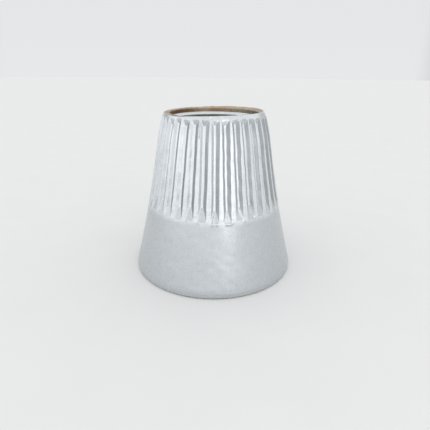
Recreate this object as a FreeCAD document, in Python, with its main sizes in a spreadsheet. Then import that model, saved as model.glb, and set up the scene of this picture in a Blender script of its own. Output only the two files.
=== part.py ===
# Cone crusher mantle: the replaceable wear cone that sits over the crusher head.
#
# One manganese steel casting. A steep bell-shaped cone, wide at the foot and
# narrow at the neck, hollow right through. The upper half of the outside is
# corrugated with upright ribs; the neck above them and the skirt below them
# are smooth. Inside, two turned conical seats (foot and neck) carry the cone
# on the head, the wall between them is left as cast and set back for backing
# compound, and a turned register in the mouth takes the head nut's ring.
#
# Frame: millimetres, +Z up along the axis of the cone, origin at the centre
# of the flat face at the foot. One groove of the corrugation faces -Y.
import FreeCAD, Part
import os
import Sketcher
from FreeCAD import Vector

doc = FreeCAD.newDocument("cone_crusher_mantle")

# ---------------------------------------------------------------- dimensions
sheet = doc.addObject("Spreadsheet::Sheet", "Dims")
DIMS = [
    # outside of the casting, foot to neck (radius, height)
    ("total_height", 1000.0),
    ("foot_radius", 517.0),
    ("foot_chamfer", 8.0),
    ("foot_land_top", 34.0),        # upright land above the foot chamfer
    ("bell_curve", 8460.0),         # hollow curve of the skirt and ribbed wall
    ("waist_radius", 347.8),
    ("waist_height", 817.0),
    ("shoulder_curve", 1150.0),     # the wall starts to lean in to the neck
    ("collar_radius", 311.4),
    ("collar_height", 967.0),
    ("collar_curve", 104.0),        # rounded shoulder up to the lip
    ("lip_radius", 294.0),
    ("lip_fall", 12.0),             # the lip is trimmed out of level, low at -X
    ("trim_reach", 400.0),          # half length of the trimming cut
    # mouth of the casting
    ("lip_inner_radius", 288.0),
    ("register_radius", 268.0),     # turned register for the head nut's ring
    ("register_top", 984.0),
    ("register_bottom", 960.0),
    # hollow: seats on one common cone, wall between set back as cast
    ("seat_top_radius", 254.0),
    ("seat_top_height", 946.0),
    ("neck_seat_low_radius", 268.14),
    ("neck_seat_low_height", 876.0),
    ("relief_top_radius", 274.35),
    ("relief_top_height", 870.0),
    ("relief_low_radius", 416.76),
    ("relief_low_height", 165.0),
    ("foot_seat_top_radius", 413.18),
    ("foot_seat_top_height", 158.0),
    ("foot_seat_low_radius", 443.48),
    ("foot_seat_low_height", 8.0),
    ("foot_mouth_radius", 451.5),
    # corrugation: grooves between the ribs
    ("rib_count", 36.0),
    ("groove_depth", 12.0),
    ("cutter_overlap", 8.0),        # the cutter stands this far out of the wall
    ("crest_part", 0.0585),         # half width of a groove at the crest / radius
    ("floor_part", 0.0150),         # half width of its floor / radius
    # a cast blemish in the collar, a shallow oval pit just under the lip
    ("pit_side", 21.0),             # distance of its centre from the YZ plane
    ("pit_height", 984.0),
    ("pit_half_width", 6.5),
    ("pit_half_height", 4.0),
    ("pit_floor", 297.5),           # distance of its floor from the XZ plane
    # stations along a groove: height and radius of the crest surface there
    ("runout_low_height", 437.0),
    ("runout_low_radius", 420.2),
    ("groove_low_height", 507.0),
    ("groove_low_radius", 405.6),
    ("groove_mid_height", 660.0),
    ("groove_mid_radius", 375.4),
    ("groove_high_height", 817.0),
    ("groove_high_radius", 347.8),
    ("groove_top_height", 946.0),
    ("groove_top_radius", 317.5),
    ("runout_top_height", 977.0),
    ("runout_top_radius", 307.0),
]
for row, (name, value) in enumerate(DIMS, start=1):
    sheet.set("A%d" % row, name)
    sheet.set("B%d" % row, repr(value))
    sheet.setAlias("B%d" % row, name)
doc.recompute()
VALUE = dict(DIMS)

# ---------------------------------------------------------------- the casting
body = doc.addObject("PartDesign::Body", "mantle")
body.Label = "mantle"
body.Placement = FreeCAD.Placement(Vector(0, 0, 0), FreeCAD.Rotation())


def origin_feature(role):
    for feature in body.Origin.OriginFeatures:
        if feature.Role == role:
            return feature
    raise RuntimeError("no origin feature " + role)


# Half section through the wall, drawn in the XZ plane: x is the radius, y the
# height. Each corner is a pair (radius alias, height alias or number).
CORNERS = [
    ("foot_mouth_radius", "0"),
    ("foot_radius - Dims.foot_chamfer", "0"),
    ("foot_radius", "foot_chamfer"),
    ("foot_radius", "foot_land_top"),
    ("waist_radius", "waist_height"),
    ("collar_radius", "collar_height"),
    ("lip_radius", "total_height"),
    ("lip_inner_radius", "total_height"),
    ("register_radius", "register_top"),
    ("register_radius", "register_bottom"),
    ("seat_top_radius", "seat_top_height"),
    ("neck_seat_low_radius", "neck_seat_low_height"),
    ("relief_top_radius", "relief_top_height"),
    ("relief_low_radius", "relief_low_height"),
    ("foot_seat_top_radius", "foot_seat_top_height"),
    ("foot_seat_low_radius", "foot_seat_low_height"),
]
# edges that are arcs: index of the corner they start from -> (radius alias,
# side: +1 bulges outward from the axis, -1 is hollow towards the axis)
ARCS = {
    3: ("bell_curve", -1),
    4: ("shoulder_curve", +1),
    5: ("collar_curve", +1),
}


def number(text):
    if text == "0":
        return 0.0
    if " - Dims." in text:
        left, right = text.split(" - Dims.")
        return VALUE[left] - VALUE[right]
    return VALUE[text]


def arc_between(start, end, radius, side):
    """Arc between two corners whose bulge is away from (+1) or to (-1) the axis.

    It always runs counter-clockwise, so a hollow arc is drawn end to start.
    """
    chord = end - start
    half = chord.Length / 2.0
    middle = (start + end) * 0.5
    outward = Vector(chord.y, -chord.x, 0)
    if outward.x < 0:
        outward = outward * -1.0
    outward.normalize()
    sagitta = radius - (radius * radius - half * half) ** 0.5
    crown = middle + outward * (side * sagitta)
    if side > 0:
        return Part.Arc(start, crown, end)
    return Part.Arc(end, crown, start)


section = body.newObject("Sketcher::SketchObject", "wall_section")
section.AttachmentSupport = [(origin_feature("XZ_Plane"), "")]
section.MapMode = "FlatFace"
points = [Vector(number(r), number(z), 0) for r, z in CORNERS]
count = len(points)
# position number of the start and end of each piece of geometry
START_END = []
for i in range(count):
    a, b = points[i], points[(i + 1) % count]
    if i in ARCS:
        alias, side = ARCS[i]
        section.addGeometry(arc_between(a, b, VALUE[alias], side), False)
        START_END.append((1, 2) if side > 0 else (2, 1))
    else:
        section.addGeometry(Part.LineSegment(a, b), False)
        START_END.append((1, 2))
for i in range(count):
    j = (i + 1) % count
    section.addConstraint(Sketcher.Constraint(
        "Coincident", i, START_END[i][1], j, START_END[j][0]))
for i in range(count):
    radius_text, height_text = CORNERS[i]
    k = section.addConstraint(Sketcher.Constraint(
        "DistanceX", -1, 1, i, START_END[i][0], points[i].x))
    section.setExpression("Constraints[%d]" % k, "Dims." + radius_text)
    if height_text == "0":
        section.addConstraint(Sketcher.Constraint(
            "PointOnObject", i, START_END[i][0], -1))
    else:
        k = section.addConstraint(Sketcher.Constraint(
            "DistanceY", -1, 1, i, START_END[i][0], points[i].y))
        section.setExpression("Constraints[%d]" % k, "Dims." + height_text)
for i, (alias, side) in ARCS.items():
    k = section.addConstraint(Sketcher.Constraint("Radius", i, VALUE[alias]))
    section.setExpression("Constraints[%d]" % k, "Dims." + alias)
doc.recompute()

turned = body.newObject("PartDesign::Revolution", "turned_wall")
turned.Profile = section
turned.ReferenceAxis = (section, ["V_Axis"])
turned.Angle = 360.0
doc.recompute()
plain_volume = turned.Shape.Volume

# The lip was trimmed by hand where the feeder head was cut off, a little out
# of level: full height at +X, lower at -X. The edge is sharper and its flat
# wider on the low side, because the cut meets the shoulder further down.
trim = body.newObject("Sketcher::SketchObject", "lip_trim_section")
trim.AttachmentSupport = [(origin_feature("XZ_Plane"), "")]
trim.MapMode = "FlatFace"
reach = VALUE["trim_reach"]
middle_height = VALUE["total_height"] - VALUE["lip_fall"] / 2
fall = VALUE["lip_fall"] / 2 * reach / VALUE["lip_radius"]
MIDDLE = "Dims.total_height - Dims.lip_fall / 2"
FALL = "Dims.lip_fall / 2 * Dims.trim_reach / Dims.lip_radius"
trim_corners = [
    (-reach, middle_height - fall, MIDDLE + " - " + FALL),
    (reach, middle_height + fall, MIDDLE + " + " + FALL),
    (reach, VALUE["total_height"] + 50.0, "Dims.total_height + 50"),
    (-reach, VALUE["total_height"] + 50.0, "Dims.total_height + 50"),
]
for i in range(4):
    a, b = trim_corners[i], trim_corners[(i + 1) % 4]
    trim.addGeometry(Part.LineSegment(Vector(a[0], a[1], 0), Vector(b[0], b[1], 0)), False)
for i in range(4):
    trim.addConstraint(Sketcher.Constraint("Coincident", i, 2, (i + 1) % 4, 1))
for i, (x, z, z_text) in enumerate(trim_corners):
    if x < 0:
        k = trim.addConstraint(Sketcher.Constraint("DistanceX", i, 1, -1, 1, -x))
    else:
        k = trim.addConstraint(Sketcher.Constraint("DistanceX", -1, 1, i, 1, x))
    trim.setExpression("Constraints[%d]" % k, "Dims.trim_reach")
    k = trim.addConstraint(Sketcher.Constraint("DistanceY", -1, 1, i, 1, z))
    trim.setExpression("Constraints[%d]" % k, z_text)
lip_trim = body.newObject("PartDesign::Pocket", "lip_trim")
lip_trim.Profile = trim
lip_trim.Type = 0
lip_trim.Length = 2 * reach
lip_trim.setExpression("Length", "2 * Dims.trim_reach")
lip_trim.Midplane = True
doc.recompute()
trimmed_off = plain_volume - lip_trim.Shape.Volume
if trimmed_off <= 0:
    raise RuntimeError("the lip was not trimmed")
plain_volume = lip_trim.Shape.Volume

# ------------------------------------------------------------ the corrugation
# One groove is cut by a loft through upright stations. Each station is a
# trapezoid in a level plane: its floor lies at groove_depth under the crest
# surface, its flanks open outwards, and it stands a little proud of the wall.
# At both ends the floor climbs back out to the crest surface, which leaves a
# sloping triangular facet between each two ribs.
STATIONS = [
    ("runout_low", False),
    ("groove_low", True),
    ("groove_mid", True),
    ("groove_high", True),
    ("groove_top", True),
    ("runout_top", False),
]
CREST = "Dims.crest_part * Dims.%s_radius"
FLOOR = "Dims.floor_part * Dims.%s_radius"
sections = []
for name, full in STATIONS:
    radius = VALUE[name + "_radius"]
    crest = VALUE["crest_part"] * radius
    floor = VALUE["floor_part"] * radius
    over = VALUE["cutter_overlap"]
    depth = VALUE["groove_depth"]
    # the flank's line carries on outside the wall
    spread = "(%s + (%s - %s) * Dims.cutter_overlap / Dims.groove_depth)" % (
        CREST % name, CREST % name, FLOOR % name)
    outer = crest + (crest - floor) * over / depth
    if full:
        low_half, low_text = floor, FLOOR % name
        level, level_text = radius - depth, "Dims.%s_radius - Dims.groove_depth" % name
    else:
        low_half, low_text = crest, CREST % name
        level, level_text = radius + 0.4, "Dims.%s_radius + 0.4" % name
    station = body.newObject("Sketcher::SketchObject", name + "_section")
    station.AttachmentSupport = [(origin_feature("XY_Plane"), "")]
    station.MapMode = "FlatFace"
    station.AttachmentOffset = FreeCAD.Placement(
        Vector(0, 0, VALUE[name + "_height"]), FreeCAD.Rotation())
    station.setExpression("AttachmentOffset.Base.z", "Dims.%s_height" % name)
    high, high_text = radius + over, "Dims.%s_radius + Dims.cutter_overlap" % name
    corners = [
        (-outer, -high, spread, high_text),
        (outer, -high, spread, high_text),
        (low_half, -level, low_text, level_text),
        (-low_half, -level, low_text, level_text),
    ]
    for i in range(4):
        a, b = corners[i], corners[(i + 1) % 4]
        station.addGeometry(Part.LineSegment(
            Vector(a[0], a[1], 0), Vector(b[0], b[1], 0)), False)
    for i in range(4):
        station.addConstraint(Sketcher.Constraint(
            "Coincident", i, 2, (i + 1) % 4, 1))
    for i, (x, y, x_text, y_text) in enumerate(corners):
        if x < 0:
            k = station.addConstraint(Sketcher.Constraint("DistanceX", i, 1, -1, 1, -x))
        else:
            k = station.addConstraint(Sketcher.Constraint("DistanceX", -1, 1, i, 1, x))
        station.setExpression("Constraints[%d]" % k, x_text)
        k = station.addConstraint(Sketcher.Constraint("DistanceY", i, 1, -1, 1, -y))
        station.setExpression("Constraints[%d]" % k, y_text)
    sections.append(station)
doc.recompute()

groove = body.newObject("PartDesign::SubtractiveLoft", "rib_groove")
groove.Profile = sections[0]
groove.Sections = sections[1:]
groove.Ruled = True
groove.Closed = False
doc.recompute()
one_groove = plain_volume - groove.Shape.Volume

ribs = body.newObject("PartDesign::PolarPattern", "rib_pattern")
ribs.Originals = [groove]
ribs.Axis = (origin_feature("Z_Axis"), [""])
ribs.Angle = 360.0
ribs.Occurrences = int(VALUE["rib_count"])
ribs.setExpression("Occurrences", "Dims.rib_count")
body.Tip = ribs
doc.recompute()
ribbed_volume = ribs.Shape.Volume

# One blemish of the casting: a shallow oval pit in the collar just under the
# lip, a little to the -X side of the front. It is cut outwards from its floor.
pit_plan = body.newObject("Sketcher::SketchObject", "pit_section")
pit_plan.AttachmentSupport = [(origin_feature("XZ_Plane"), "")]
pit_plan.MapMode = "FlatFace"
pit_plan.AttachmentOffset = FreeCAD.Placement(
    Vector(0, 0, VALUE["pit_floor"]), FreeCAD.Rotation())
pit_plan.setExpression("AttachmentOffset.Base.z", "Dims.pit_floor")
centre = Vector(-VALUE["pit_side"], VALUE["pit_height"], 0)
pit_plan.addGeometry(Part.Ellipse(
    centre + Vector(VALUE["pit_half_width"], 0, 0),
    centre + Vector(0, VALUE["pit_half_height"], 0), centre), False)
pit_plan.exposeInternalGeometry(0)
k = pit_plan.addConstraint(Sketcher.Constraint(
    "DistanceX", 0, 3, -1, 1, VALUE["pit_side"]))
pit_plan.setExpression("Constraints[%d]" % k, "Dims.pit_side")
k = pit_plan.addConstraint(Sketcher.Constraint(
    "DistanceY", -1, 1, 0, 3, VALUE["pit_height"]))
pit_plan.setExpression("Constraints[%d]" % k, "Dims.pit_height")
pit_plan.addConstraint(Sketcher.Constraint("Horizontal", 1))
k = pit_plan.addConstraint(Sketcher.Constraint(
    "Distance", 1, 2 * VALUE["pit_half_width"]))
pit_plan.setExpression("Constraints[%d]" % k, "2 * Dims.pit_half_width")
k = pit_plan.addConstraint(Sketcher.Constraint(
    "Distance", 2, 2 * VALUE["pit_half_height"]))
pit_plan.setExpression("Constraints[%d]" % k, "2 * Dims.pit_half_height")
pit = body.newObject("PartDesign::Pocket", "cast_pit")
pit.Profile = pit_plan
pit.Type = 0
pit.Length = 20.0
pit.Reversed = True
body.Tip = pit
doc.recompute()
pit_volume = ribbed_volume - pit.Shape.Volume
if not 100.0 < pit_volume < 900.0:
    raise RuntimeError("the pit's volume is wrong: %g mm3" % pit_volume)

# -------------------------------------------------------------------- checks
for item in doc.Objects:
    if "Invalid" in item.State or "Error" in item.State:
        raise RuntimeError("%s failed: %s" % (item.Name, item.State))
shape = body.Shape
if shape.isNull() or not shape.isValid():
    raise RuntimeError("the mantle's shape is not valid")
if len(shape.Solids) != 1:
    raise RuntimeError("the mantle should be one solid, not %d" % len(shape.Solids))
cut_away = plain_volume - ribbed_volume
if not 0.98 < cut_away / (one_groove * VALUE["rib_count"]) < 1.02 or one_groove <= 0:
    raise RuntimeError("the grooves did not cut: %g, one is %g" % (cut_away, one_groove))
box = shape.optimalBoundingBox()
print("mantle box mm: %.2f..%.2f  %.2f..%.2f  %.2f..%.2f" % (
    box.XMin, box.XMax, box.YMin, box.YMax, box.ZMin, box.ZMax))
print("volume %.6f m3, lip trim %.1f cm3, one groove %.1f cm3, faces %d" % (
    shape.Volume / 1e9, trimmed_off / 1e3, one_groove / 1e3, len(shape.Faces)))

# --------------------------------------------------------------------- output
os.makedirs("parts", exist_ok=True)
body.Shape.exportStep(os.path.join("parts", body.Label + ".step"))
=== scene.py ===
import math
import bpy
import numpy as np
from mathutils import Matrix, Vector


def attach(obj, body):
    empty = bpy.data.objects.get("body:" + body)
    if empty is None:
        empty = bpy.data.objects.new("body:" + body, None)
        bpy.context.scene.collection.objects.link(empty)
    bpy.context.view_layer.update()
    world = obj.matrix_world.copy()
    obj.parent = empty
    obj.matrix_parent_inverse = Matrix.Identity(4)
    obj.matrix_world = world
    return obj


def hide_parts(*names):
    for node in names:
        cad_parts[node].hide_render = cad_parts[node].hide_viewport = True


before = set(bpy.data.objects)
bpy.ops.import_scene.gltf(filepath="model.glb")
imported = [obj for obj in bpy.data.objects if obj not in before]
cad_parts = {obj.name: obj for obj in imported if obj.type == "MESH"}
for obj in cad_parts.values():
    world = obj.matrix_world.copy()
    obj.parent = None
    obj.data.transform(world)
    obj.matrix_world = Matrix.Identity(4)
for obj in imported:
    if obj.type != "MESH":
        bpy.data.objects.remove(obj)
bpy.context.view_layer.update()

# =====================================================================
# Camera. It stands a little over two metres away and looks down at 22
# degrees, with a groove of the corrugation almost facing it.
# =====================================================================
scene = bpy.context.scene
cam_data = bpy.data.cameras.new("camera")
camera = bpy.data.objects.new("camera", cam_data)
scene.collection.objects.link(camera)
scene.camera = camera
cam_data.sensor_width = 36.0
cam_data.lens = 30.18
cam_data.shift_y = 0.0033
cam_data.clip_start = 0.05
cam_data.clip_end = 200.0
TURN = math.radians(-0.95)
cam_x, cam_y = 0.0094, -2.2523
camera.location = (
    cam_x * math.cos(TURN) - cam_y * math.sin(TURN),
    cam_x * math.sin(TURN) + cam_y * math.cos(TURN),
    1.2241,
)
camera.rotation_mode = "QUATERNION"
camera.rotation_quaternion = (
    Matrix.Rotation(TURN, 3, "Z") @ Matrix.Rotation(math.pi / 2 - 0.3871, 3, "X")
    @ Matrix.Rotation(0.0089, 3, "Z")
).to_quaternion()

# =====================================================================
# Shape of the casting (millimetres until the mesh is made)
# =====================================================================
rng = np.random.default_rng(20)


def smin(a, b, k):
    hh = np.clip(0.5 + 0.5 * (b - a) / k, 0, 1)
    return b * (1 - hh) + a * hh - k * hh * (1 - hh)


def smax(a, b, k):
    return -smin(-a, -b, k)


def step(e0, e1, x):
    q = np.clip((x - e0) / (e1 - e0), 0, 1)
    return q * q * (3 - 2 * q)


class Waves:
    """Smooth seeded noise: a sum of plane waves, about -1 to 1."""

    def __init__(self, seed, wave, stretch=(1, 1, 1), n=28):
        g = np.random.default_rng(seed)
        d = g.normal(size=(n, 3))
        d /= np.linalg.norm(d, axis=1)[:, None]
        self.k = d * (2 * np.pi / (wave * g.uniform(0.7, 1.5, n)))[:, None]
        self.k /= np.array(stretch, float)
        self.p = g.uniform(0, 2 * np.pi, n)
        self.a = 1.0 / math.sqrt(n / 2) * 0.6

    def __call__(self, xyz):
        out = np.zeros(xyz.shape[:-1])
        for k, p in zip(self.k, self.p):
            out += np.cos(xyz @ k + p)
        return out * self.a


def on_arc(z, z0, r0, z1, r1, radius, side):
    """Radius of the wall at height z on the arc from (r0, z0) up to (r1, z1)."""
    chord = math.hypot(r1 - r0, z1 - z0)
    ox, oz = (z1 - z0) / chord, -(r1 - r0) / chord
    back = math.sqrt(radius * radius - chord * chord / 4)
    cx = (r0 + r1) / 2 - side * ox * back
    cz = (z0 + z1) / 2 - side * oz * back
    return cx + side * np.sqrt(np.maximum(radius * radius - (z - cz) ** 2, 0))


def outside(z):
    """Radius of the outer wall at its crests."""
    z = np.asarray(z, float)
    bell = on_arc(z, 34, 517, 817, 347.8, 8460, -1)
    shoulder = on_arc(z, 817, 347.8, 967, 311.4, 1150, 1)
    collar = on_arc(z, 967, 311.4, 1000, 294, 104, 1)
    r = np.where(z < 817, bell, np.where(z < 967, shoulder, collar))
    return np.where(z < 34, 517.0, r)


def lip_height(x):
    """The lip was trimmed a little out of level: low at -X."""
    return 994.0 + x * 6.0 / 294.0


RIBS = 36
PITCH = 360.0 / RIBS
# columns across one pitch: shares of the left flank, floor, right flank
# and crest of each groove, whose widths are the same all the way up
LEFT, FLOOR, RIGHT = 20.0, 6.3, 25.5        # mm from the middle of the groove
SHARE = [("crest", -0.5, 0.55), ("left", 0.0, -0.10), ("left", 0.0, 0.0), ("left", 0.10, 0.0),
         ("left", 0.30, 0.0), ("left", 0.60, 0.0), ("left", 0.88, 0.0), ("floor", -1.0, 0.0),
         ("floor", -0.72, 0.0), ("floor", 0.0, 0.0), ("floor", 0.72, 0.0), ("floor", 1.0, 0.0),
         ("right", 0.12, 0.0), ("right", 0.38, 0.0), ("right", 0.66, 0.0), ("right", 0.90, 0.0),
         ("right", 1.0, 0.0), ("right", 1.0, 0.10), ("crest", 0.25, 0.0), ("crest", 0.62, 0.0)]
PER = len(SHARE)


def columns(z):
    """Degrees from the groove's middle, and how deep each column lies (0 to 1)."""
    r = float(outside(z))
    deg = math.degrees(1.0 / r)
    crest = PITCH / deg - LEFT - RIGHT          # mm of crest left between grooves
    x, q = [], []
    for kind, share, extra in SHARE:
        if kind == "left":
            x.append(-LEFT + share * (LEFT - FLOOR) + extra * crest)
            q.append(share)
        elif kind == "floor":
            x.append(share * FLOOR)
            q.append(1.0)
        elif kind == "right":
            x.append(FLOOR + share * (RIGHT - FLOOR) + extra * crest)
            q.append(1.0 - share)
        elif share < 0:
            x.append(-LEFT - 0.22 * crest)
            q.append(0.0)
        else:
            x.append(RIGHT + share * crest)
            q.append(0.0)
    return np.array(x) * deg, np.array(q), np.array(x)


PHASE0, DOWN, ACROSS = columns(600.0)
groove_of = np.repeat(np.arange(RIBS), PER)
COLS = RIBS * PER
azimuth = groove_of * PITCH + np.tile(PHASE0, RIBS)    # 0 faces -Y, growing towards +X

# every groove was finished by hand, so no two are quite alike
deep = 13.0 * (1 + rng.uniform(-0.09, 0.09, RIBS))
centre_off = rng.uniform(-0.16, 0.16, RIBS)
left_off = rng.uniform(-0.16, 0.16, RIBS)
right_off = rng.uniform(-0.16, 0.16, RIBS)
top_end = 977.5 + rng.uniform(-3.5, 3.5, RIBS)
low_end = 434.0 + rng.uniform(-6.0, 6.0, RIBS)
top_slope = 0.40 * (1 + rng.uniform(-0.18, 0.18, RIBS))
low_slope = 0.172 * (1 + rng.uniform(-0.12, 0.12, RIBS))
edge_wave = [Waves(100 + i, 85.0, n=8) for i in range(2 * RIBS)]


def shifted(z):
    """Azimuth of each column at height z: the rib edges wander a little."""
    deg, q, x = columns(min(max(z, 430.0), 975.0))
    a = np.abs(x)
    near = np.tile(step(0.0, FLOOR, a) * (1 - step(RIGHT + 2, RIGHT + 6, a)), RIBS)
    whole = np.tile(1 - step(RIGHT, RIGHT + 6, a), RIBS)
    probe = np.array([[0.0, 0.0, z]])
    side = np.zeros((2, RIBS))
    for i in range(RIBS):
        side[0, i] = edge_wave[2 * i](probe)[0] * 0.15 + left_off[i]
        side[1, i] = edge_wave[2 * i + 1](probe)[0] * 0.15 + right_off[i]
    fade = step(425, 450, z) * (1 - step(972, 990, z))
    pick = np.where(np.tile(x, RIBS) < 0, side[0][groove_of], side[1][groove_of])
    move = pick * near + centre_off[groove_of] * whole
    return groove_of * PITCH + np.tile(deg, RIBS) + move * fade


def groove_depth(z):
    """How far the wall lies under its crest surface at each column."""
    deg, q, x = columns(700.0)
    q = np.where(x < 0, (LEFT + x) / (LEFT - FLOOR), (RIGHT - x) / (RIGHT - FLOOR))
    q[0] = q[18] = q[19] = -0.4
    g = smin(smax(q, 0.0, 0.10), 1.0, 0.20)
    g = np.clip(g - g[18], 0, 1)
    d = np.tile(g, RIBS) * deep[groove_of]
    top = (top_end[groove_of] - z) * top_slope[groove_of]
    low = (z - low_end[groove_of]) * low_slope[groove_of]
    d = smin(d, top, 1.6)
    d = smin(d, low, 1.2)
    return smax(d, 0.0, 0.5)


# Runs and drops of paint that dried where the grooves end: lines of
# (azimuth degrees, height mm) with a height and a half width in mm.
RUNS = [
    ([(-20.3, 512), (-21.2, 480), (-22.4, 441)], 1.5, 3.2),
    ([(-10.0, 508), (-11.2, 470), (-12.7, 436)], 1.8, 3.2),
    ([(-29.8, 505), (-31.0, 478), (-32.4, 448)], 1.4, 3.4),
    ([(-39.6, 500), (-41.0, 474), (-42.4, 450)], 1.3, 3.4),
    ([(-0.2, 478), (-1.0, 450), (-1.5, 428)], 1.2, 3.4),
    ([(8.8, 426), (11.0, 424), (13.5, 429)], 1.8, 3.2),
    ([(12.2, 482), (13.2, 455), (13.7, 434)], 1.2, 3.0),
    ([(20.2, 510), (21.6, 474), (23.6, 437)], 1.7, 3.2),
    ([(30.2, 508), (31.6, 474), (33.8, 446)], 1.7, 3.2),
    ([(40.4, 498), (42.0, 474), (44.0, 456)], 1.7, 3.2),
    ([(-49.8, 500), (-51.2, 474), (-52.2, 452)], 1.2, 3.4),
]
DROPS = [
    (-12.8, 434, 2.4, 5.0), (-1.6, 426, 2.6, 5.5), (1.9, 424, 2.6, 5.5),
    (13.6, 431, 2.2, 5.0), (23.7, 435, 2.2, 4.8), (33.9, 445, 1.8, 4.8),
    (-22.5, 440, 1.4, 4.5), (-16.2, 470, 1.2, 3.6), (-13.6, 470, 1.0, 3.6),
    (-47.5, 946, 1.8, 6.5), (-38.6, 958, 2.0, 7.5), (-29.6, 973, 1.8, 6.5),
    (-12.4, 972, 1.4, 4.5), (-9.8, 965, 1.6, 5.0), (1.8, 966, 1.8, 6.0),
    (0.6, 976, 1.6, 5.5), (8.0, 966, 1.4, 5.5), (10.6, 945, 1.5, 4.0),
    (17.0, 962, 1.6, 4.5), (23.4, 972, 1.8, 5.5), (44.5, 988, 1.8, 5.5),
    (52.0, 972, 1.8, 7.0), (-56.0, 962, 1.6, 6.5),
]
# the sides and the back, which were sprayed the same way
for i in range(RIBS):
    a = i * PITCH
    if 55 <= a <= 305:
        side = -1 if rng.random() < 0.5 else 1
        if rng.random() < 0.8:
            x = rng.uniform(2.2, 3.6) * side
            h0, h1 = rng.uniform(495, 512), rng.uniform(434, 452)
            RUNS.append(([(a + 0.2 * side, h0), (a + 0.5 * x, (h0 + h1) / 2),
                          (a + x, h1)], rng.uniform(1.0, 1.8), 3.2))
            DROPS.append((a + x, h1 - 1, rng.uniform(1.2, 2.4), 4.8))
        if rng.random() < 0.75:
            DROPS.append((a + rng.uniform(-3.5, 3.5), rng.uniform(945, 976),
                          rng.uniform(1.2, 2.0), rng.uniform(4.5, 6.5)))


def paint_lumps(az, z, r):
    """Height of the runs and drops at each column of one ring."""
    out = np.zeros_like(az)
    for line, high, wide in RUNS:
        heights = [p[1] for p in line]
        if z.min() > max(heights) + 12 or z.max() < min(heights) - 12:
            continue
        best = np.full(az.shape, 1e9)
        for (a0, z0), (a1, z1) in zip(line[:-1], line[1:]):
            x0, x1 = np.radians(a0) * r, np.radians(a1) * r
            px = np.radians((az + 180) % 360 - 180 if a0 < 180 and a0 > -180 and abs(a0) < 90 else az) * r
            dx, dz = x1 - x0, z1 - z0
            t = np.clip(((px - x0) * dx + (z - z0) * dz) / (dx * dx + dz * dz), 0, 1)
            best = np.minimum(best, np.hypot(px - x0 - t * dx, z - z0 - t * dz))
        out += high * np.exp(-(best / wide) ** 2)
    for a0, z0, high, wide in DROPS:
        if z.min() > z0 + 3 * wide or z.max() < z0 - 3 * wide:
            continue
        off = (az - a0 + 180) % 360 - 180
        px = np.radians(off) * r
        d2 = (px * px + ((z - z0) * 0.8) ** 2) / (wide * wide)
        out += high * np.exp(-d2)
    return out


broad = Waves(7, 150.0)
middle = Waves(8, 46.0)
small = Waves(9, 17.0)
runny = Waves(10, 15.0, stretch=(1, 1, 7))
lip_wave = Waves(11, 130.0)
lip_fine = Waves(12, 34.0)


def cartesian(az, r, z):
    a = np.radians(az)
    return np.stack([r * np.sin(a), -r * np.cos(a), np.broadcast_to(z, r.shape)], -1)


def cast_skin(az, r, z, amount=1.0):
    """Unevenness of the sand-cast, sprayed wall, in mm outwards."""
    p = cartesian(az, r, z)
    return amount * (0.45 * broad(p) + 0.30 * middle(p) + 0.16 * small(p)
                     + 0.16 * runny(cartesian(az, np.full_like(r, 400.0), z)))


# ---- rings, from the foot up the outside, over the lip, down the hollow
RINGS = []          # (xyz, column step, zone)
SUNK = []           # depth under the crest surface, ring by ring


def add_ring(az, r, z, every, zone, sunk=None):
    z = np.broadcast_to(np.asarray(z, float), r.shape)
    sunk = np.zeros(r.shape) if sunk is None else sunk
    RINGS.append((cartesian(az, r, z)[every - 1::every], every, zone))
    SUNK.append(sunk[every - 1::every])


even = azimuth.astype(float)

# foot face and chamfer, turned
for r, z in ((463, 0.0), (486, 0.0), (506.5, 0.0)):
    add_ring(even, np.full(COLS, float(r)), z, 2, "foot")
for r, z in ((509.2, 0.5), (513.0, 4.1), (516.4, 7.6)):
    add_ring(even, np.full(COLS, r), z, 2, "foot")
for z in (9.5, 17.0, 25.0, 31.0):
    r = np.full(COLS, 516.7 if z > 9 else 516.5)
    r = r + np.minimum(cast_skin(even, r, z, 0.35), 0.25) - 0.3
    add_ring(even, r, z, 2, "wall")
for z in list(np.arange(37.0, 424.0, 12.4)):
    r = outside(z) * np.ones(COLS) - 0.4
    if z < 45:
        r = r - 0.8
    r = r + cast_skin(even, r, z, 0.9)
    add_ring(even, np.minimum(r, 516.9), z, 2, "wall")

heights = list(np.arange(424.5, 512.0, 3.9)) + list(np.arange(514.0, 936.0, 9.1)) \
    + list(np.arange(937.5, 966.0, 3.9))
for z in heights:
    az = shifted(z)
    base = outside(z) * np.ones(COLS)
    zz = np.full(COLS, float(z))
    d = groove_depth(z)
    r = base - d - 0.4
    r = r + cast_skin(az, r, z, 0.9) + paint_lumps(az, zz, r)
    add_ring(az, r, z, 1, "wall", d)

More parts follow.
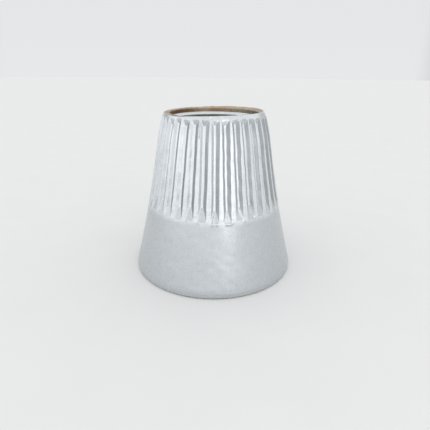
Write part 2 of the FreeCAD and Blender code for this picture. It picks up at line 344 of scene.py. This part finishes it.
# shoulder and collar: rings share the way up from 967 to the uneven lip
lip_z0 = lip_height(294 * np.sin(np.radians(even)))
lip_p = cartesian(even, np.full(COLS, 294.0), 990.0)
lip_rough = 0.8 * lip_wave(lip_p) + 0.45 * lip_fine(lip_p)
near = (even + 180) % 360 - 180
dip = 4.5 * np.exp(-((near + 46) / 18.0) ** 2)
lift = 1.8 * np.exp(-((near - 12) / 26.0) ** 2)
lip_z = np.minimum(lip_z0 + lip_rough - dip + lift, 999.9)
for share in (0.0, 0.12, 0.24, 0.36, 0.48, 0.60, 0.72, 0.84, 0.93, 0.985):
    z = 967.5 + (lip_z - 967.5) * share
    az = even + (shifted(967.5) - even) * (1 - share) ** 1.5
    base = outside(z)
    d = groove_depth(z)
    r = base - d - 0.4
    skin = cast_skin(az, r, z, 0.9 * (1 - 0.5 * share))
    r = r + skin + paint_lumps(az, z, r)
    # the little pit under the lip
    off = ((az + 4.0 + 180) % 360 - 180)
    px = np.radians(off) * r
    e2 = (px / 8.0) ** 2 + ((z - 983.5) / 5.2) ** 2
    r = r - 5.5 * np.exp(-(e2 ** 2))
    if share > 0.98:
        r = r - 0.5
    add_ring(az, r, z, 1, "wall", d)

edge_r = outside(lip_z) - 0.4 + 0.35 * lip_fine(lip_p)
burr = 1.6 * np.exp(-(((even + 180) % 360 - 180 + 88) / 7.0) ** 2)
add_ring(even, edge_r - 1.6 + burr, lip_z + 0.0, 1, "lip")
chamfer_r = 268 + (lip_z - 984.0) * 20.0 / 16.0
inner_edge = np.minimum(np.maximum(chamfer_r, 269.0) + 0.8 * lip_wave(lip_p * 1.3), edge_r - 5.0)
mid = (edge_r + inner_edge) / 2
add_ring(even, np.minimum(edge_r - 3.2, mid + 6), lip_z + 0.02, 1, "lip")
add_ring(even, np.maximum(inner_edge + 1.2, mid - 10), lip_z + 0.0, 1, "lip")
add_ring(even, inner_edge - 0.3, lip_z - 0.9, 1, "mouth")
for share in (0.35, 0.7, 0.93):
    z = lip_z - 0.9 + (984.8 - lip_z) * share
    r = inner_edge + (269.0 - inner_edge) * share
    add_ring(even, r, z, 2, "mouth")
for z in (983.0, 979.0, 974.0, 969.0, 964.0, 961.2):
    add_ring(even, np.full(COLS, 268.0) + (0.25 if z > 982 else 0), z, 2, "mouth")
add_ring(even, np.full(COLS, 267.2), 959.6, 2, "ledge")
for share in (0.2, 0.5, 0.8):
    r = 267.2 + (255.2 - 267.2) * share
    z = 959.6 + (947.4 - 959.6) * share
    add_ring(even, np.full(COLS, r), z, 2, "ledge")
add_ring(even, np.full(COLS, 254.6), 946.6, 2, "ledge")
for z in (944.5, 930.0, 912.0, 894.0, 879.0):
    add_ring(even, 254 + (946 - z) * 0.202 + np.zeros(COLS), z, 2, "seat")
add_ring(even, np.full(COLS, 268.5), 875.4, 2, "seat")
add_ring(even, np.full(COLS, 273.6), 870.6, 2, "relief")
for z in list(np.arange(866.0, 172.0, -24.0)) + [168.0]:
    r = 274.35 + (870 - z) * (416.76 - 274.35) / 705.0 + np.zeros(COLS)
    r = r + np.maximum(cast_skin(even, r, z, 1.4), -1.4)
    add_ring(even, r, z, 4, "relief")
add_ring(even, np.full(COLS, 416.0), 164.2, 4, "relief")
add_ring(even, np.full(COLS, 413.5), 158.6, 4, "seat")
for z in (154.0, 130.0, 100.0, 70.0, 40.0, 12.0):
    add_ring(even, 254 + (946 - z) * 0.202 + np.zeros(COLS), z, 4, "seat")
add_ring(even, np.full(COLS, 443.9), 7.4, 4, "seat")
add_ring(even, np.full(COLS, 447.6), 3.9, 4, "foot")
add_ring(even, np.full(COLS, 451.2), 0.35, 4, "foot")
add_ring(even, np.full(COLS, 454.0), 0.0, 4, "foot")

# ---- stitch the rings; where the column step doubles, three triangles join
#      two fine edges to one coarse edge
verts, starts, steps = [], [], []
total = 0
for xyz, every, zone in RINGS:
    starts.append(total)
    steps.append(every)
    verts.append(xyz)
    total += len(xyz)
co = np.concatenate(verts) * 0.001
faces, face_zone = [], []
ZONES = ["wall", "lip", "mouth", "ledge", "seat", "relief", "foot"]


def join(i, j):
    n_i, n_j = len(RINGS[i][0]), len(RINGS[j][0])
    s_i, s_j = starts[i], starts[j]
    zone = ZONES.index(RINGS[j][2] if RINGS[j][2] != "wall" or RINGS[i][2] != "foot" else "wall")
    if n_i == n_j:
        k = np.arange(n_i)
        k1 = (k + 1) % n_i
        quads = np.stack([s_i + k, s_i + k1, s_j + k1, s_j + k], 1)
        faces.extend(quads.tolist())
        face_zone.extend([zone] * n_i)
        return
    coarse_first = n_i < n_j
    n_c = min(n_i, n_j)
    s_c, s_f = (s_i, s_j) if coarse_first else (s_j, s_i)
    n_f = max(n_i, n_j)
    # coarse column k sits on fine column 2k + 1
    for k in range(n_c):
        c0, c1 = s_c + k, s_c + (k + 1) % n_c
        f0 = s_f + (2 * k + 1) % n_f
        f1 = s_f + (2 * k + 2) % n_f
        f2 = s_f + (2 * k + 3) % n_f
        tris = [(c0, f1, f0), (c0, c1, f1), (c1, f2, f1)]
        if not coarse_first:
            tris = [t[::-1] for t in tris]
        faces.extend([list(t) for t in tris])
        face_zone.extend([zone] * 3)


for i in range(len(RINGS) - 1):
    join(i, i + 1)
join(len(RINGS) - 1, 0)

mesh = bpy.data.meshes.new("mantle_casting")
mesh.from_pydata(co.tolist(), [], faces)
mesh.validate()
mesh.update()
casting = bpy.data.objects.new("mantle_casting", mesh)
scene.collection.objects.link(casting)
mesh.polygons.foreach_set("use_smooth", np.ones(len(mesh.polygons), bool))

tri_count = sum(len(p.vertices) - 2 for p in mesh.polygons)
print("casting: %d vertices, %d faces, %d triangles" % (
    len(mesh.vertices), len(mesh.polygons), tri_count))

# ---- what the finish reads: a round wrap of the wall with no seam, and how
#      far into a groove a point lies
az_all = np.arctan2(co[:, 0], -co[:, 1])
wrap = np.stack([0.4 * np.sin(az_all), -0.4 * np.cos(az_all), co[:, 2]], 1)
attr = mesh.attributes.new("wrap", "FLOAT_VECTOR", "POINT")
attr.data.foreach_set("vector", wrap.astype(np.float32).ravel())
sunk = np.concatenate(SUNK)
attr = mesh.attributes.new("groove", "FLOAT", "POINT")
attr.data.foreach_set("value", np.clip(sunk / 12.0, 0, 1).astype(np.float32))
# which way the groove walls turn: to the left, to the right, down or up; the paint uses these to lay painted shade
# in the grooves
turned = {key: [] for key in ("left", "right", "down", "up")}
for i, (xyz, every, zone) in enumerate(RINGS):
    d = SUNK[i]
    across, climb = np.zeros(len(d)), np.zeros(len(d))
    if zone == "wall" and every == 1:
        ahead, behind = np.roll(xyz, -1, 0), np.roll(xyz, 1, 0)
        run = np.hypot(ahead[:, 0] - behind[:, 0], ahead[:, 1] - behind[:, 1])
        across = (np.roll(d, -1) - np.roll(d, 1)) / run
        lo, hi = max(i - 1, 0), i + 1
        if len(SUNK[lo]) == len(d) == len(SUNK[hi]):
            climb = (SUNK[hi] - SUNK[lo]) / np.maximum(RINGS[hi][0][:, 2] - xyz[:, 2]
                                                       + xyz[:, 2] - RINGS[lo][0][:, 2], 0.5)
    turned["left"].append(np.clip(-across / 0.55, 0, 1))
    turned["right"].append(np.clip(across / 0.75, 0, 1))
    turned["down"].append(np.clip(-climb / 0.34, 0, 1))
    turned["up"].append(np.clip(climb / 0.16, 0, 1))
for key, parts in turned.items():
    attr = mesh.attributes.new("turned_" + key, "FLOAT", "POINT")
    attr.data.foreach_set("value", np.concatenate(parts).astype(np.float32))

uv = mesh.uv_layers.new(name="wall")
loop_v = np.zeros(len(mesh.loops), int)
mesh.loops.foreach_get("vertex_index", loop_v)
along = np.concatenate([[i] * len(x) for i, (x, e, z) in enumerate(RINGS)]).astype(float)
step_len = [0.0]
for i in range(1, len(RINGS)):
    a, b = RINGS[i - 1][0], RINGS[i][0]
    ra, rb = np.hypot(a[0, 0], a[0, 1]), np.hypot(b[0, 0], b[0, 1])
    step_len.append(step_len[-1] + math.hypot(ra - rb, a[0, 2] - b[0, 2]))
v_of = np.array(step_len)[along.astype(int)] / (step_len[-1] + 30)
u_of = (az_all / (2 * np.pi)) % 1.0
uvs = np.stack([u_of[loop_v], v_of[loop_v]], 1)
starts_p = np.zeros(len(mesh.polygons), int)
counts_p = np.zeros(len(mesh.polygons), int)
mesh.polygons.foreach_get("loop_start", starts_p)
mesh.polygons.foreach_get("loop_total", counts_p)
for s, c in zip(starts_p, counts_p):
    u = uvs[s:s + c, 0]
    if u.max() - u.min() > 0.5:
        uvs[s:s + c, 0] = np.where(u < 0.5, u + 1.0, u)
uv.data.foreach_set("uv", uvs.astype(np.float32).ravel())

# =====================================================================
# Finishes
# =====================================================================


class Nodes:
    def __init__(self, name):
        self.mat = bpy.data.materials.new(name)
        self.mat.use_nodes = True
        self.tree = self.mat.node_tree
        self.tree.nodes.clear()
        self.out = self.tree.nodes.new("ShaderNodeOutputMaterial")
        self.bsdf = self.tree.nodes.new("ShaderNodeBsdfPrincipled")
        self.link(self.bsdf.outputs[0], self.out.inputs[0])

    def link(self, a, b):
        self.tree.links.new(a, b)

    def put(self, socket, value):
        if isinstance(value, bpy.types.NodeSocket):
            self.link(value, socket)
        elif isinstance(value, (tuple, list)) and len(value) == 3 and socket.type == "RGBA":
            socket.default_value = (*value, 1.0)
        else:
            socket.default_value = value

    def attribute(self, name, vector=False):
        n = self.tree.nodes.new("ShaderNodeAttribute")
        n.attribute_name = name
        return n.outputs["Vector" if vector else "Fac"]

    def object_coords(self):
        return self.tree.nodes.new("ShaderNodeTexCoord").outputs["Object"]

    def scaled(self, vec, sx, sy, sz, offset=(0, 0, 0)):
        n = self.tree.nodes.new("ShaderNodeMapping")
        n.inputs["Scale"].default_value = (sx, sy, sz)
        n.inputs["Location"].default_value = offset
        self.link(vec, n.inputs["Vector"])
        return n.outputs[0]

    def noise(self, vec, scale, detail=3.0, rough=0.55, distort=0.0):
        n = self.tree.nodes.new("ShaderNodeTexNoise")
        n.inputs["Scale"].default_value = scale
        n.inputs["Detail"].default_value = detail
        n.inputs["Roughness"].default_value = rough
        n.inputs["Distortion"].default_value = distort
        self.link(vec, n.inputs["Vector"])
        return n.outputs["Fac"]

    def cells(self, vec, scale):
        n = self.tree.nodes.new("ShaderNodeTexVoronoi")
        n.inputs["Scale"].default_value = scale
        self.link(vec, n.inputs["Vector"])
        return n.outputs["Distance"]

    def ramp(self, fac, stops):
        n = self.tree.nodes.new("ShaderNodeValToRGB")
        r = n.color_ramp
        while len(r.elements) < len(stops):
            r.elements.new(0.5)
        for e, (pos, col) in zip(r.elements, stops):
            e.position = pos
            if isinstance(col, (int, float)):
                col = (col, col, col)
            e.color = (*col, 1.0)
        self.link(fac, n.inputs["Fac"])
        return n.outputs["Color"]

    def mix(self, fac, a, b, blend="MIX"):
        n = self.tree.nodes.new("ShaderNodeMix")
        n.data_type = "RGBA"
        n.blend_type = blend
        self.put(n.inputs[0], fac)
        self.put(n.inputs[6], a)
        self.put(n.inputs[7], b)
        return n.outputs[2]

    def math(self, op, a, b=0.0, clamp=False):
        n = self.tree.nodes.new("ShaderNodeMath")
        n.operation = op
        n.use_clamp = clamp
        self.put(n.inputs[0], a)
        self.put(n.inputs[1], b)
        return n.outputs[0]

    def rise(self, value, low, high, to_low=0.0, to_high=1.0):
        n = self.tree.nodes.new("ShaderNodeMapRange")
        n.interpolation_type = "SMOOTHSTEP"
        self.put(n.inputs["Value"], value)
        n.inputs["From Min"].default_value = low
        n.inputs["From Max"].default_value = high
        n.inputs["To Min"].default_value = to_low
        n.inputs["To Max"].default_value = to_high
        return n.outputs["Result"]

    def split(self, vec):
        n = self.tree.nodes.new("ShaderNodeSeparateXYZ")
        self.link(vec, n.inputs[0])
        return n.outputs

    def bump(self, height, distance, strength=1.0, normal=None):
        n = self.tree.nodes.new("ShaderNodeBump")
        n.inputs["Strength"].default_value = strength
        n.inputs["Distance"].default_value = distance
        self.link(height, n.inputs["Height"])
        if normal is not None:
            self.link(normal, n.inputs["Normal"])
        return n.outputs[0]


def silver_paint():
    """Aluminium paint sprayed over a rough casting."""
    m = Nodes("silver_paint")
    obj = m.object_coords()
    wrap_v = m.attribute("wrap", vector=True)
    x, y, z = m.split(wrap_v)
    drawn = m.scaled(wrap_v, 1, 1, 0.09)
    streak = m.noise(drawn, 70.0, 4.0, 0.6)
    streak_fine = m.noise(drawn, 240.0, 3.0, 0.6)
    cloud = m.noise(obj, 9.0, 4.0, 0.6)
    mottle = m.noise(obj, 60.0, 5.0, 0.65)
    grain = m.noise(obj, 420.0, 3.0, 0.6)
    base = m.ramp(m.rise(streak, 0.3, 0.7), [(0.0, (0.66, 0.695, 0.72)), (1.0, (0.735, 0.77, 0.79))])
    base = m.mix(m.rise(cloud, 0.4, 0.75, 0.0, 0.30), base, (0.58, 0.61, 0.635))
    base = m.mix(m.rise(mottle, 0.5, 0.8, 0.0, 0.25), base, (0.84, 0.865, 0.88))
    # painted shade: below the grooves the paint colour is made darker and duller, standing in for a shadow over the
    # lower band
    base = m.mix(m.rise(z, 0.405, 0.450, 0.85, 0.0), base, (0.52, 0.55, 0.57))
    # painted shade: the groove walls and run-out facets are darkened where shade falls in the grooves, most on walls
    # turned to the left, away from the key light
    left = m.rise(m.attribute("turned_left"), 0.20, 0.80)
    right = m.rise(m.attribute("turned_right"), 0.30, 0.85, 0.0, 0.34)
    patchy = m.rise(m.noise(obj, 22.0, 3.0, 0.6), 0.35, 0.65, 0.15, 0.60)
    down = m.math("MULTIPLY", m.rise(m.attribute("turned_down"), 0.20, 0.95), patchy)
    up = m.rise(m.attribute("turned_up"), 0.30, 0.85, 0.0, 0.50)
    painted_groove_shade = m.math("MAXIMUM", m.math("MAXIMUM", left, right), m.math("MAXIMUM", down, up))
    painted_groove_shade = m.math("MULTIPLY", painted_groove_shade, m.rise(streak, 0.25, 0.75, 0.80, 1.0))
    # painted shade: the groove walls are mixed towards dark grey
    base = m.mix(painted_groove_shade, base, (0.30, 0.32, 0.335))
    dusty = m.rise(m.noise(obj, 26.0, 5.0, 0.7), 0.60, 0.85, 0.0, 0.12)
    base = m.mix(dusty, base, (0.50, 0.47, 0.42))
    m.put(m.bsdf.inputs["Base Color"], base)
    m.bsdf.inputs["Metallic"].default_value = 0.82
    rough = m.rise(streak_fine, 0.25, 0.75, 0.25, 0.36)
    rough = m.math("ADD", rough, m.rise(mottle, 0.4, 0.8, -0.02, 0.07))
    m.put(m.bsdf.inputs["Roughness"], rough)
    relief = m.math("ADD", m.math("MULTIPLY", streak, 0.9), m.math("MULTIPLY", mottle, 0.8))
    n1 = m.bump(relief, 0.0008, 0.40)
    n2 = m.bump(grain, 0.00025, 0.40, n1)
    m.put(m.bsdf.inputs["Normal"], n2)
    return m.mat


def rusty_mouth():
    """The turned band in the mouth: bare steel, rusted brown to tan."""
    m = Nodes("rusty_turned_steel")
    obj = m.object_coords()
    wrap_v = m.attribute("wrap", vector=True)
    x, y, z = m.split(wrap_v)
    # left to right across the far wall
    across = m.math("ADD", m.math("MULTIPLY", x, 1.25), 0.5)
    wobble = m.math("MULTIPLY", m.math("SUBTRACT", m.noise(obj, 14.0, 4.0, 0.6), 0.5), 0.22)
    across = m.math("ADD", across, wobble)
    far = m.ramp(across, [
        (0.00, (0.16, 0.10, 0.055)), (0.10, (0.14, 0.068, 0.030)), (0.22, (0.23, 0.16, 0.09)),
        (0.36, (0.46, 0.36, 0.26)), (0.46, (0.33, 0.22, 0.13)), (0.58, (0.34, 0.22, 0.125)),
        (0.70, (0.37, 0.29, 0.18)), (0.84, (0.30, 0.26, 0.18)), (1.00, (0.17, 0.15, 0.10)),
    ])
    patch = m.noise(obj, 30.0, 5.0, 0.65)
    col = m.mix(m.rise(patch, 0.5, 0.72, 0.0, 0.6), far, (0.15, 0.085, 0.04))
    col = m.mix(m.rise(m.noise(obj, 45.0, 4.0, 0.6), 0.55, 0.75, 0.0, 0.5), col, (0.52, 0.45, 0.36))
    # the lead-in above the band kept a thin pale film of paint
    high = m.rise(z, 0.981, 0.989)
    film = m.math("MULTIPLY", high, m.rise(m.noise(obj, 24.0, 4.0, 0.6), 0.25, 0.6, 0.55, 1.0))
    col = m.mix(m.math("MULTIPLY", film, 0.75), col, (0.53, 0.45, 0.36))
    # overspray creeps up over the lower edge
    low = m.rise(m.math("ADD", z, m.math("MULTIPLY", m.noise(obj, 40.0, 3.0, 0.6), 0.006)), 0.9625, 0.9655, 1.0, 0.0)
    col = m.mix(low, col, (0.50, 0.53, 0.54))
    m.put(m.bsdf.inputs["Base Color"], col)
    m.bsdf.inputs["Metallic"].default_value = 0.15
    m.put(m.bsdf.inputs["Roughness"], m.rise(patch, 0.3, 0.7, 0.5, 0.78))
    turned = m.noise(m.scaled(wrap_v, 1.5, 1.5, 900.0), 1.0, 2.0, 0.5)
    n1 = m.bump(turned, 0.0004, 0.5)
    n2 = m.bump(patch, 0.0007, 0.6, n1)
    m.put(m.bsdf.inputs["Normal"], n2)
    return m.mat


def hollow_steel(turned_seat):
    """Inside of the casting: turned seats, and the wall between left as cast."""
    m = Nodes("turned_seat" if turned_seat else "cast_hollow")
    obj = m.object_coords()
    wrap_v = m.attribute("wrap", vector=True)
    cloud = m.noise(obj, 11.0, 5.0, 0.6)
    patch = m.noise(obj, 38.0, 5.0, 0.68)
    if turned_seat:
        col = m.ramp(m.rise(cloud, 0.3, 0.7), [(0.0, (0.24, 0.225, 0.20)), (1.0, (0.38, 0.36, 0.32))])
        col = m.mix(m.rise(patch, 0.52, 0.72, 0.0, 0.75), col, (0.20, 0.11, 0.05))
        m.bsdf.inputs["Metallic"].default_value = 0.6
        m.put(m.bsdf.inputs["Roughness"], m.rise(patch, 0.3, 0.7, 0.36, 0.62))
        line = m.noise(m.scaled(wrap_v, 1.5, 1.5, 700.0), 1.0, 2.0, 0.5)
        n1 = m.bump(line, 0.0005, 0.6)
        n2 = m.bump(patch, 0.0005, 0.4, n1)
    else:
        col = m.ramp(m.rise(cloud, 0.3, 0.7), [(0.0, (0.115, 0.105, 0.095)), (1.0, (0.21, 0.20, 0.185))])
        col = m.mix(m.rise(patch, 0.5, 0.75, 0.0, 0.65), col, (0.17, 0.095, 0.05))
        m.bsdf.inputs["Metallic"].default_value = 0.1
        m.put(m.bsdf.inputs["Roughness"], m.rise(patch, 0.3, 0.7, 0.62, 0.85))
        n1 = m.bump(m.noise(obj, 90.0, 5.0, 0.7), 0.0018, 0.7)
        n2 = m.bump(m.noise(obj, 420.0, 3.0, 0.6), 0.0006, 0.6, n1)
    m.put(m.bsdf.inputs["Base Color"], col)
    m.put(m.bsdf.inputs["Normal"], n2)
    return m.mat


paint = silver_paint()
mouth = rusty_mouth()
seat = hollow_steel(True)
relief = hollow_steel(False)
for mat in (paint, mouth, seat, relief):
    mesh.materials.append(mat)
slot_of = {"wall": 0, "lip": 1, "mouth": 1, "ledge": 0, "seat": 2, "relief": 3, "foot": 2}
index = np.array([slot_of[ZONES[z]] for z in face_zone])
mesh.polygons.foreach_set("material_index", index)
mesh.update()

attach(casting, "root")
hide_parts("mantle")

# =====================================================================
# Plain pale floor and soft studio light
# =====================================================================
SEG = 96
floor_v = [(0.0, 0.0, 0.0)] + [
    (r * math.cos(2 * math.pi * k / SEG), r * math.sin(2 * math.pi * k / SEG), 0.0)
    for r in (3.0, 60.0) for k in range(SEG)]
floor_f = [(0, 1 + k, 1 + (k + 1) % SEG) for k in range(SEG)] + [
    (1 + k, 1 + SEG + k, 1 + SEG + (k + 1) % SEG, 1 + (k + 1) % SEG) for k in range(SEG)]
floor_mesh = bpy.data.meshes.new("floor")
floor_mesh.from_pydata(floor_v, [], floor_f)
floor = bpy.data.objects.new("floor", floor_mesh)
scene.collection.objects.link(floor)
fm = Nodes("pale_floor")
fog = fm.noise(fm.object_coords(), 3.0, 3.0, 0.5)
fm.put(fm.bsdf.inputs["Base Color"], fm.ramp(fog, [(0.0, (0.80, 0.80, 0.795)), (1.0, (0.83, 0.83, 0.825))]))
fm.bsdf.inputs["Roughness"].default_value = 0.9
floor_mesh.materials.append(fm.mat)


def area(name, place, target, size, power, colour=(1, 1, 1)):
    d = bpy.data.lights.new(name, "AREA")
    d.shape = "RECTANGLE"
    d.size, d.size_y = size
    d.energy = power
    d.color = colour
    o = bpy.data.objects.new(name, d)
    scene.collection.objects.link(o)
    o.location = place
    o.rotation_mode = "QUATERNION"
    o.rotation_quaternion = (Vector(target) - Vector(place)).to_track_quat("-Z", "Y")
    return o


area("key", (1.65, -4.05, 1.25), (0, 0, 0.7), (1.2, 1.7), 5.0)

# a pale dome: a bright band in front, towards -Y, softer above and behind
world = bpy.data.worlds.new("studio")
scene.world = world
world.use_nodes = True
wt = world.node_tree
wt.nodes.clear()
w_out = wt.nodes.new("ShaderNodeOutputWorld")
w_bg = wt.nodes.new("ShaderNodeBackground")
wt.links.new(w_bg.outputs[0], w_out.inputs[0])
w_tc = wt.nodes.new("ShaderNodeTexCoord")
w_sep = wt.nodes.new("ShaderNodeSeparateXYZ")
wt.links.new(w_tc.outputs["Generated"], w_sep.inputs[0])


def w_math(op, a, b):
    n = wt.nodes.new("ShaderNodeMath")
    n.operation = op
    for sock, v in zip(n.inputs, (a, b)):
        if isinstance(v, bpy.types.NodeSocket):
            wt.links.new(v, sock)
        else:
            sock.default_value = v
    return n.outputs[0]


def w_rise(v, lo, hi, to_lo, to_hi):
    n = wt.nodes.new("ShaderNodeMapRange")
    n.interpolation_type = "SMOOTHSTEP"
    wt.links.new(v, n.inputs["Value"])
    for key, val in (("From Min", lo), ("From Max", hi), ("To Min", to_lo), ("To Max", to_hi)):
        n.inputs[key].default_value = val
    return n.outputs["Result"]


climb = w_sep.outputs[2]
bearing = w_math("ADD", 0.5, w_math("MULTIPLY", w_math(
    "ARCTAN2", w_sep.outputs[0], w_math("MULTIPLY", w_sep.outputs[1], -1.0)), 0.5 / math.pi))
w_ramp = wt.nodes.new("ShaderNodeValToRGB")
around = [(-180, 0.80), (-152, 0.80), (-142, 0.30), (-128, 0.35), (-116, 1.10), (-100, 1.40),
          (-80, 1.50), (-45, 1.40), (-8, 1.40), (14, 1.65), (32, 1.50), (52, 1.25), (72, 1.10),
          (90, 1.05), (106, 1.25), (120, 0.95), (132, 0.35), (143, 0.35), (152, 0.80), (180, 0.80)]
while len(w_ramp.color_ramp.elements) < len(around):
    w_ramp.color_ramp.elements.new(0.5)
for e, (deg, value) in zip(w_ramp.color_ramp.elements, around):
    e.position = 0.5 + deg / 360.0
    e.color = (value / 2, value / 2, value / 2, 1.0)
wt.links.new(bearing, w_ramp.inputs[0])
ring = w_math("MULTIPLY", w_ramp.outputs[0], 2.0)
ring = w_math("MULTIPLY", ring, w_rise(climb, -0.02, 0.12, 1.02, 1.0))
over = w_rise(climb, 0.18, 0.50, 0.0, 1.0)
dome = w_math("ADD", w_math("MULTIPLY", ring, w_math("SUBTRACT", 1.0, over)),
              w_math("MULTIPLY", over, 1.0))
wt.links.new(dome, w_bg.inputs[1])
w_bg.inputs[0].default_value = (0.985, 0.992, 1.0, 1.0)
scene.view_settings.view_transform = "Standard"
scene.view_settings.look = "None"
